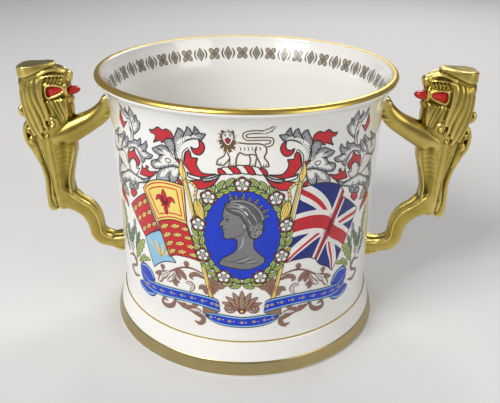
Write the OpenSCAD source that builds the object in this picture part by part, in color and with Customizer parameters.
// Two-handled loving cup: a white china bowl luted onto a plinth foot, with
// gilded bands, and a pair of gilded lions standing up the wall as handles.
// The cup's axis is Z, the table is z = 0, the lions stand along +X and -X,
// and the printed front faces -Y. All lengths are in millimetres.

/* [Bowl] */
// Height of the lip above the table
cup_h = 128; // [115:1:145]
// Radius of the lip at its widest
rim_r = 70; // [66:0.5:78]
// Radius of the wall at the waist, above the foot
waist_r = 63.1; // [58:0.1:66]
// Radius of the wall where the lip begins to flare
shoulder_r = 64.3; // [60:0.1:66]
// Radius of the bowl where it stands on the foot
base_r = 63.7; // [63:0.1:66]
// Thickness of the bowl's wall
wall_t = 3.2; // [2:0.1:5]
// Thickness of the lip's rounded edge
lip_t = 3.6; // [2:0.1:5]
// Height of the flared part of the lip
lip_h = 20; // [16:1:26]
// Angle that the lip's rounded edge turns under past its widest point
lip_under_deg = 50; // [30:1:60]
// Height of the cove between the foot and the straight wall
cove_h = 10; // [6:1:16]
// Thickness of the bowl's floor
floor_t = 5; // [3:0.5:8]
// Radius between the floor and the wall inside
well_r = 12; // [4:1:16]

/* [Foot] */
// Height of the plinth foot
foot_h = 16.7; // [14:0.1:20]
// Width of the ledge on top of the foot, out from the bowl
ledge_w = 0.5; // [0.3:0.1:1.5]
// How far the foot's lower edge stands out past the ledge
foot_lean = 4.1; // [2:0.1:6]
// Height of the foot's upright lower edge
foot_flat_h = 1.2; // [1:0.1:3]
// Width of the ring that touches the table
foot_ring_w = 10; // [7:0.5:14]
// Round on the foot's lower edges
foot_edge_r = 0.8; // [0.4:0.1:0.9]

/* [Gilding] */
// Thickness of the fired gold
gilt_t = 0.2; // [0.1:0.05:0.3]
// Hairline between the fired gold and the glaze under it
gilt_gap = 0.02; // [0.01:0.01:0.04]
// Angle that the gold covers each side of the lip's crest
rim_gilt_deg = 82; // [45:1:90]
// Height of the gold band round the foot
foot_gilt_h = 7.6; // [5:0.1:11]
// Height of the gold line on the ledge
ledge_line_h = 0.5; // [0.4:0.1:1.2]

/* [Lion handles] */
// Height of the hind paws' centre above the table
handle_z = 32; // [30:0.5:36]
// Height of a lion from the hind paws' centre to the crown
lion_h = 95; // [88:1:102]
// How far the forepaws' centre lies below the lip
paw_drop = 21; // [18:0.5:26]
// Half the width of one leg
leg_half_w = 3.7; // [3:0.1:4.2]
// Gap between the two legs of a pair
leg_gap = 0.2; // [0.1:0.05:0.6]
// Layer of slip between a paw and the wall
slip_t = 0.1; // [0.05:0.05:0.2]
// Half the width of the torso at the chest
chest_half_w = 8.2; // [7.4:0.1:9]
// Half the width of the tail
tail_half_w = 2.8; // [2:0.1:3.4]
// Half the width of the tongue
tongue_half_w = 2.6; // [2:0.1:3]
// Radius of a toe
toe_r = 1.5; // [1:0.1:1.8]
// Thickness of a lock of the mane
lock_t = 1.7; // [1.2:0.1:2.2]

/* [Hidden] */
$fn = 96;
CURVE_STEPS = 10;   // segments in each curved stretch of a profile
LOFT_SIDES = 12;    // points round a lofted limb
LOFT_STEPS = 3;     // rings between two stations of a limb
LOCK_SIDES = 6;     // points round a lock of hair
LOCK_STEPS = 2;     // rings between two stations of a lock
BALL_FN = 10;       // facets of the balls that a form is hulled from
TOE_FN = 8;         // facets of the balls in a toe

ledge_r = base_r + ledge_w;
foot_r = ledge_r + foot_lean;
lip_r = lip_t / 2;
lip_centre = [rim_r - lip_r, cup_h - lip_r];
// Where the lip's rounded edge ends and its hollow underside begins.
lip_under = lip_centre + lip_r * [cos(lip_under_deg), -sin(lip_under_deg)];
lip_start_z = cup_h - lip_h;
cove_top_z = foot_h + cove_h;
floor_z = foot_h + floor_t;
leg_y = leg_half_w + leg_gap / 2;
// The stations of the lion's form are given for a height of 95, with the
// forepaws' centre at 75, and the forepaws rise or sink with the lip.
lion_k = lion_h / 95;
paw_rise = (cup_h - paw_drop - handle_z) / lion_k - 75;

LEFT = -1;
RIGHT = 1;
FRONT = -1;
BACK = 1;

CHINA = "ivory";
GOLD = "goldenrod";
RED = "firebrick";

// Curves

function bezier(a, b, c, d) = [
    for (i = [0 : CURVE_STEPS])
        let (t = i / CURVE_STEPS, s = 1 - t)
            s * s * s * a + 3 * s * s * t * b + 3 * s * t * t * c + t * t * t * d
];

function arc(centre, r, from, to) = [
    for (i = [0 : CURVE_STEPS])
        let (angle = from + (to - from) * i / CURVE_STEPS)
            centre + r * [cos(angle), sin(angle)]
];

// Leaves out a curve's last point, where the next stretch starts.
function open(curve) = [for (i = [0 : len(curve) - 2]) curve[i]];

// Profiles of the cup, as [radius, height]

function cove_curve() = bezier(
    [base_r, foot_h], [base_r * 0.35 + waist_r * 0.65, foot_h + cove_h * 0.27],
    [waist_r, foot_h + cove_h * 0.6], [waist_r, cove_top_z]);

// The outside of the lip, from the straight wall up to the rounded edge.
function lip_curve() = bezier(
    [shoulder_r, lip_start_z], [shoulder_r, lip_start_z + lip_h * 0.35],
    lip_under - lip_h * 0.17 * [sin(lip_under_deg), cos(lip_under_deg)], lip_under);

function inner_lip_curve() = bezier(
    [rim_r - lip_t, cup_h - lip_r], [rim_r - lip_t - 2.4, cup_h - lip_h * 0.38],
    [shoulder_r - wall_t, lip_start_z + lip_h * 0.35],
    [shoulder_r - wall_t, lip_start_z]);

function bowl_outline() = concat(open(cove_curve()), [[waist_r, cove_top_z]],
                                 open(lip_curve()));

// The foot's outside leans in from its lower edge to the ledge.
function foot_radius(z) =
    foot_r - foot_lean * max(0, z - foot_flat_h) / (foot_h - foot_flat_h);

module bowl() {
    color(CHINA) rotate_extrude() polygon(concat(
        [[0, foot_h]], bowl_outline(),
        open(arc(lip_centre, lip_r, -lip_under_deg, 180)),
        open(inner_lip_curve()), [[shoulder_r - wall_t, lip_start_z]],
        arc([waist_r - wall_t - well_r, floor_z + well_r], well_r, 0, -90),
        [[0, floor_z]]));
}

module foot() {
    inner_r = foot_r - foot_ring_w;
    color(CHINA) rotate_extrude() polygon(concat(
        arc([foot_r - foot_edge_r, foot_edge_r], foot_edge_r, -90, 0),
        [[foot_r, foot_flat_h], [ledge_r, foot_h], [inner_r, foot_h]],
        arc([inner_r + foot_edge_r, foot_edge_r], foot_edge_r, 180, 270)));
}

// Gold over the crest of the lip, down both sides.
module rim_gilding() {
    from = 90 - rim_gilt_deg;
    to = 90 + rim_gilt_deg;
    color(GOLD) rotate_extrude() polygon(concat(
        arc(lip_centre, lip_r + gilt_t, from, to),
        arc(lip_centre, lip_r + gilt_gap, to, from)));
}

// A gold line in the corner between the bowl and the foot's ledge.
module ledge_gilding() {
    along = cove_curve()[1] - cove_curve()[0];
    color(GOLD) rotate_extrude() polygon([
        [base_r, foot_h], [ledge_r, foot_h],
        [base_r, foot_h] + along * ledge_line_h / along[1]]);
}

// A gold band on the leaning side, above the foot's bare lower edge.
module foot_gilding() {
    low = [foot_r, foot_flat_h];
    high = [foot_radius(foot_gilt_h), foot_gilt_h];
    color(GOLD) rotate_extrude() polygon([
        low + [gilt_gap, 0], low + [gilt_t, 0], high + [gilt_t, 0], high + [gilt_gap, 0]]);
}

// Everything inside the outside of the bowl, which the paws are fitted to.
module bowl_envelope(grow) {
    rotate_extrude() polygon(concat(
        [[0, foot_h]], [for (p = bowl_outline()) p + [grow, 0]],
        [lip_under + [grow, 0], [0, lip_under[1]]]));
}

// Lofts. A station is [x, y, z, half depth, half width]: the half depth lies in
// the plane of the limb's bend, and the half width mostly along Y.

function unit(v) = v / norm(v);

function between(p, q, r, s, t) = 0.5 * (2 * q + (r - p) * t
    + (2 * p - 5 * q + 4 * r - s) * t * t + (3 * q - p - 3 * r + s) * t * t * t);

function smoothed(stations, steps) = let (last = len(stations) - 1) [
    for (i = [0 : last - 1], k = [0 : steps - 1])
        between(stations[max(i - 1, 0)], stations[i], stations[i + 1],
                stations[min(i + 2, last)], k / steps),
    stations[last]
];

function place_of(station) = [station[0], station[1], station[2]];

// A limb's outline follows the lion's height, and its width is set by itself.
function sized(stations) = [
    for (s = stations) [s[0] * lion_k, s[1], s[2] * lion_k, s[3] * lion_k, s[4]]
];

function ring(at, ahead, sides) =
    let (across = unit(cross(ahead, [0, 1, 0])), side = cross(across, ahead)) [
        for (k = [0 : sides - 1])
            let (angle = 360 * k / sides)
                place_of(at) + at[3] * cos(angle) * across + at[4] * sin(angle) * side
    ];

module loft(stations, sides = LOFT_SIDES, steps = LOFT_STEPS) {
    path = smoothed(sized(stations), steps);
    last = len(path) - 1;
    points = [for (i = [0 : last])
        let (ahead = unit(place_of(path[min(i + 1, last)]) - place_of(path[max(i - 1, 0)])))
            each ring(path[i], ahead, sides)];
    quads = [for (i = [0 : last - 1], k = [0 : sides - 1])
        let (a = i * sides + k, b = i * sides + (k + 1) % sides)
            each [[a, b, b + sides], [a, b + sides, a + sides]]];
    polyhedron(points, concat(
        [[for (k = [sides - 1 : -1 : 0]) k]], quads,
        [[for (k = [0 : sides - 1]) last * sides + k]]));
}

module ball(x, y, z, r) {
    translate([x, y, z] * lion_k) sphere(r * lion_k, $fn = BALL_FN);
}

// A hull of balls given as [x, half spacing, z, radius], each set on both sides.
module twin_hull(balls) {
    hull() for (b = balls, side = [FRONT, BACK]) ball(b[0], side * b[1], b[2], b[3]);
}

// A hull of balls on one side only.
module side_hull(side, balls) {
    hull() for (b = balls) ball(b[0], side * b[1], b[2], b[3]);
}

// The lion. X is the way out from the cup's waist, Z is up from the hind paws.

module torso_form() {
    w = chest_half_w;
    loft([
        [31.8, 0, 20.0, 2.6, w * 0.40],
        [31.6, 0, 23.0, 5.2, w * 0.70],
        [31.2, 0, 29.0, 6.2, w * 0.84],
        [30.8, 0, 36.0, 5.6, w * 0.85],
        [30.4, 0, 43.0, 6.8, w * 0.89],
        [30.3, 0, 51.0, 8.8, w * 0.96],
        [30.5, 0, 59.0, 10.2, w],
        [31.2, 0, 66.0, 10.3, w * 0.95],
        [31.8, 0, 72.0, 9.2, w * 0.80]
    ]);
}

module head_form() {
    // Skull and neck
    twin_hull([[36.0, 1.0, 84.0, 7.0], [31.5, 1.8, 87.4, 5.4], [35.0, 1.2, 78.0, 6.6]]);
    twin_hull([[33.0, 0.6, 75.0, 7.4], [32.0, 0.4, 69.0, 7.6]]);
    // Upper jaw, with the nose at its end
    twin_hull([[29.0, 3.4, 89.6, 3.8], [23.0, 2.4, 88.8, 2.8], [22.4, 1.8, 87.2, 2.2]]);
    twin_hull([[20.9, 0.9, 86.8, 1.4], [21.6, 0.7, 90.2, 1.3]]);
    // Lower jaw and the beard under it
    twin_hull([[31.0, 3.4, 77.2, 3.2], [23.2, 2.0, 77.6, 2.7]]);
    twin_hull([[23.6, 1.7, 75.4, 2.6], [23.0, 1.8, 70.0, 1.6]]);
    // Brows, cheeks and the corners of the lips
    for (side = [FRONT, BACK]) {
        side_hull(side, [[25.2, 3.0, 92.0, 1.4], [33.0, 6.2, 91.2, 1.8]]);
        side_hull(side, [[33.6, 5.4, 84.5, 2.8], [33.2, 5.2, 76.5, 2.7]]);
        side_hull(side, [[23.0, 4.0, 86.4, 0.9], [22.6, 3.7, 79.2, 0.9]]);
    }
    // Flat crown of hair
    twin_hull([[29.6, 2.6, 93.6, 1.7], [42.6, 6.2, 91.2, 2.0], [41.0, 5.0, 86.0, 3.2]]);
}

// Rows of locks that sweep from the crown down and forward over the shoulders,
// each ending in a curl, with the hair of the nape behind them.
module mane_form() {
    t = lock_t;
    for (side = [FRONT, BACK], k = [0 : 3]) {
        top = 36.2 + 1.9 * k;
        tip = 30.4 + 3.4 * k;
        low = k == 0 ? 68.6 : 63.6 - 1.6 * (k - 1);
        out = chest_half_w + 0.2 - 0.1 * k * k;
        loft([
            [top + 0.6, side * (out - 2.4), 89.4 - 0.5 * k, t * 0.8, t * 0.8],
            [top + 0.2, side * (out - 0.8), 84.0 - 0.5 * k, t * 1.15, t],
            [top * 0.62 + tip * 0.38, side * (out - 0.2), 78.0 - k, t * 1.2, t],
            [top * 0.22 + tip * 0.78, side * out, low + 5.0, t * 1.1, t],
            [tip, side * out, low, t * 0.8, t * 0.9]
        ], LOCK_SIDES, LOCK_STEPS);
        hull() {
            translate([tip * lion_k, side * out, (low + 0.2) * lion_k])
                sphere(t, $fn = TOE_FN);
            translate([(tip - 1.5) * lion_k, side * (out + 0.2), (low + 1.0) * lion_k])
                sphere(t * 0.7, $fn = TOE_FN);
        }
    }
    loft([
        [42.8, 0, 90.0, 1.8, 5.4], [43.4, 0, 84.0, 2.3, 6.6], [43.2, 0, 77.0, 2.5, 6.8],
        [41.9, 0, 70.0, 2.4, 6.0], [40.0, 0, 63.0, 1.8, 4.4]
    ]);
}

// The tail climbs the back from the rump, bows out and ends in a curled tuft.
module tail_form() {
    w = tail_half_w;
    loft([
        [36.8, 0, 17.6, 1.4, w * 0.6], [37.4, 0, 20.5, 2.5, w], [37.8, 0, 28.0, 2.3, w],
        [37.4, 0, 37.0, 2.1, w], [38.8, 0, 44.0, 2.1, w], [41.6, 0, 50.0, 2.2, w],
        [44.6, 0, 56.5, 2.1, w], [45.2, 0, 62.5, 1.9, w * 0.95],
        [43.6, 0, 67.4, 1.8, w * 0.85], [41.0, 0, 69.0, 1.7, w * 0.8]
    ]);
    twin_hull([[43.4, 1.0, 68.0, 1.3], [45.8, 0.6, 72.0, 1.3]]);
}

// A foreleg swings at its shoulder, so that its paw keeps its place under the lip.
function swung(stations, shoulder_x, wrist_x) = [
    for (s = stations)
        let (share = min(1, max(0, (shoulder_x - s[0]) / (shoulder_x - wrist_x))))
            [s[0], s[1], s[2] + share * paw_rise, s[3], s[4]]
];

module foreleg_form(y) {
    w = leg_half_w;
    loft(swung([
        [32.0, y, 58.2, 2.4, w * 0.6], [29.6, y, 59.4, 5.0, w], [24.0, y, 62.4, 6.2, w],
        [18.5, y, 64.9, 5.6, w], [12.5, y, 67.4, 5.1, w * 0.95],
        [8.0, y, 69.6, 5.0, w * 0.95], [3.8, y, 72.4, 5.9, w], [-1.5, y, 75.0, 6.0, w]
    ], shoulder_x = 29.6, wrist_x = 8.0));
    for (k = [0 : 3])
        toe([5.2 - 0.3 * k, y, 67.4 + 3.2 * k + paw_rise], [1.9, y, 68.8 + 3.3 * k + paw_rise]);
}

module hind_leg_form(y) {
    w = leg_half_w;
    loft([
        [33.6, y * 1.1, 32.0, 3.2, w * 0.5], [32.0, y * 1.1, 28.6, 6.2, w * 1.0],
        [28.8, y, 24.4, 7.2, w], [24.2, y, 20.8, 6.3, w], [19.8, y, 16.8, 5.8, w],
        [16.2, y, 10.4, 5.0, w * 0.95], [12.9, y, 4.4, 5.1, w * 0.95],
        [8.5, y, 0.9, 5.1, w], [4.0, y, 0.2, 5.7, w], [-2.5, y, 0, 6.0, w]
    ]);
    for (k = [0 : 3]) toe([6.0, y, -3.3 + 2.5 * k], [2.0, y, -4.4 + 3.1 * k]);
}

// One toe of a paw that lies against the wall, with a knuckle at its root.
module toe(root, tip) {
    y = root[1] + (root[1] < 0 ? -1 : 1) * leg_half_w * 0.62;
    from = [root[0] * lion_k, y, root[2] * lion_k];
    to = [tip[0] * lion_k, y, tip[2] * lion_k];
    hull() {
        translate(from) sphere(toe_r * 0.7, $fn = TOE_FN);
        translate(to) sphere(toe_r, $fn = TOE_FN);
    }
    hull() {
        translate(to) sphere(toe_r, $fn = TOE_FN);
        translate(to + [-3.5, 0, 0.8]) sphere(toe_r, $fn = TOE_FN);
    }
}

module mouth_form() {
    twin_hull([[29.6, 5.0, 84.6, 1.4], [29.8, 4.8, 80.8, 1.4],
               [24.4, 3.6, 84.6, 1.0], [24.6, 3.4, 81.2, 1.0]]);
}

module tongue_form() {
    w = tongue_half_w;
    loft([[25.5, 0, 81.8, 1.9, w], [21.6, 0, 82.0, 2.1, w],
          [18.8, 0, 82.3, 1.7, w * 0.9], [17.0, 0, 82.9, 0.8, w * 0.5]]);
}

// Sets a lion on one side of the cup.
module at_handle(side) {
    mirror([side < 0 ? 1 : 0, 0, 0]) translate([waist_r, 0, handle_z]) children();
}

module cup_in_lion_frame() {
    translate([-waist_r, 0, -handle_z]) bowl_envelope(slip_t);
}

module lion_torso(side) {
    color(GOLD) at_handle(side) torso_form();
}

module lion_head(side) {
    color(GOLD) at_handle(side) difference() {
        head_form();
        torso_form();
    }
}

module lion_mane(side) {
    color(GOLD) at_handle(side) difference() {
        mane_form();
        torso_form();
        head_form();
        foreleg_form(-leg_y);
        foreleg_form(leg_y);
    }
}

module lion_tail(side) {
    color(GOLD) at_handle(side) difference() {
        tail_form();
        torso_form();
        mane_form();
        hind_leg_form(-leg_y);
        hind_leg_form(leg_y);
    }
}

module lion_foreleg(side, face) {
    color(GOLD) at_handle(side) difference() {
        foreleg_form(face * leg_y);
        torso_form();
        cup_in_lion_frame();
        head_form();
    }
}

module lion_hind_leg(side, face) {
    color(GOLD) at_handle(side) difference() {
        hind_leg_form(face * leg_y);
        torso_form();
        cup_in_lion_frame();
    }
}

module lion_mouth_enamel(side) {
    color(RED) at_handle(side) difference() {
        mouth_form();
        head_form();
    }
}

module lion_tongue(side) {
    color(RED) at_handle(side) difference() {
        tongue_form();
        head_form();
        mouth_form();
    }
}

bowl();
foot();
rim_gilding();
ledge_gilding();
foot_gilding();

lion_torso(LEFT);  // left_lion_torso
lion_head(LEFT);  // left_lion_head
lion_mane(LEFT);  // left_lion_mane
lion_tail(LEFT);  // left_lion_tail
lion_foreleg(LEFT, FRONT);  // left_lion_front_foreleg
lion_foreleg(LEFT, BACK);  // left_lion_back_foreleg
lion_hind_leg(LEFT, FRONT);  // left_lion_front_hind_leg
lion_hind_leg(LEFT, BACK);  // left_lion_back_hind_leg
lion_mouth_enamel(LEFT);  // left_lion_mouth_enamel
lion_tongue(LEFT);  // left_lion_tongue

lion_torso(RIGHT);  // right_lion_torso
lion_head(RIGHT);  // right_lion_head
lion_mane(RIGHT);  // right_lion_mane
lion_tail(RIGHT);  // right_lion_tail
lion_foreleg(RIGHT, FRONT);  // right_lion_front_foreleg
lion_foreleg(RIGHT, BACK);  // right_lion_back_foreleg
lion_hind_leg(RIGHT, FRONT);  // right_lion_front_hind_leg
lion_hind_leg(RIGHT, BACK);  // right_lion_back_hind_leg
lion_mouth_enamel(RIGHT);  // right_lion_mouth_enamel
lion_tongue(RIGHT);  // right_lion_tongue
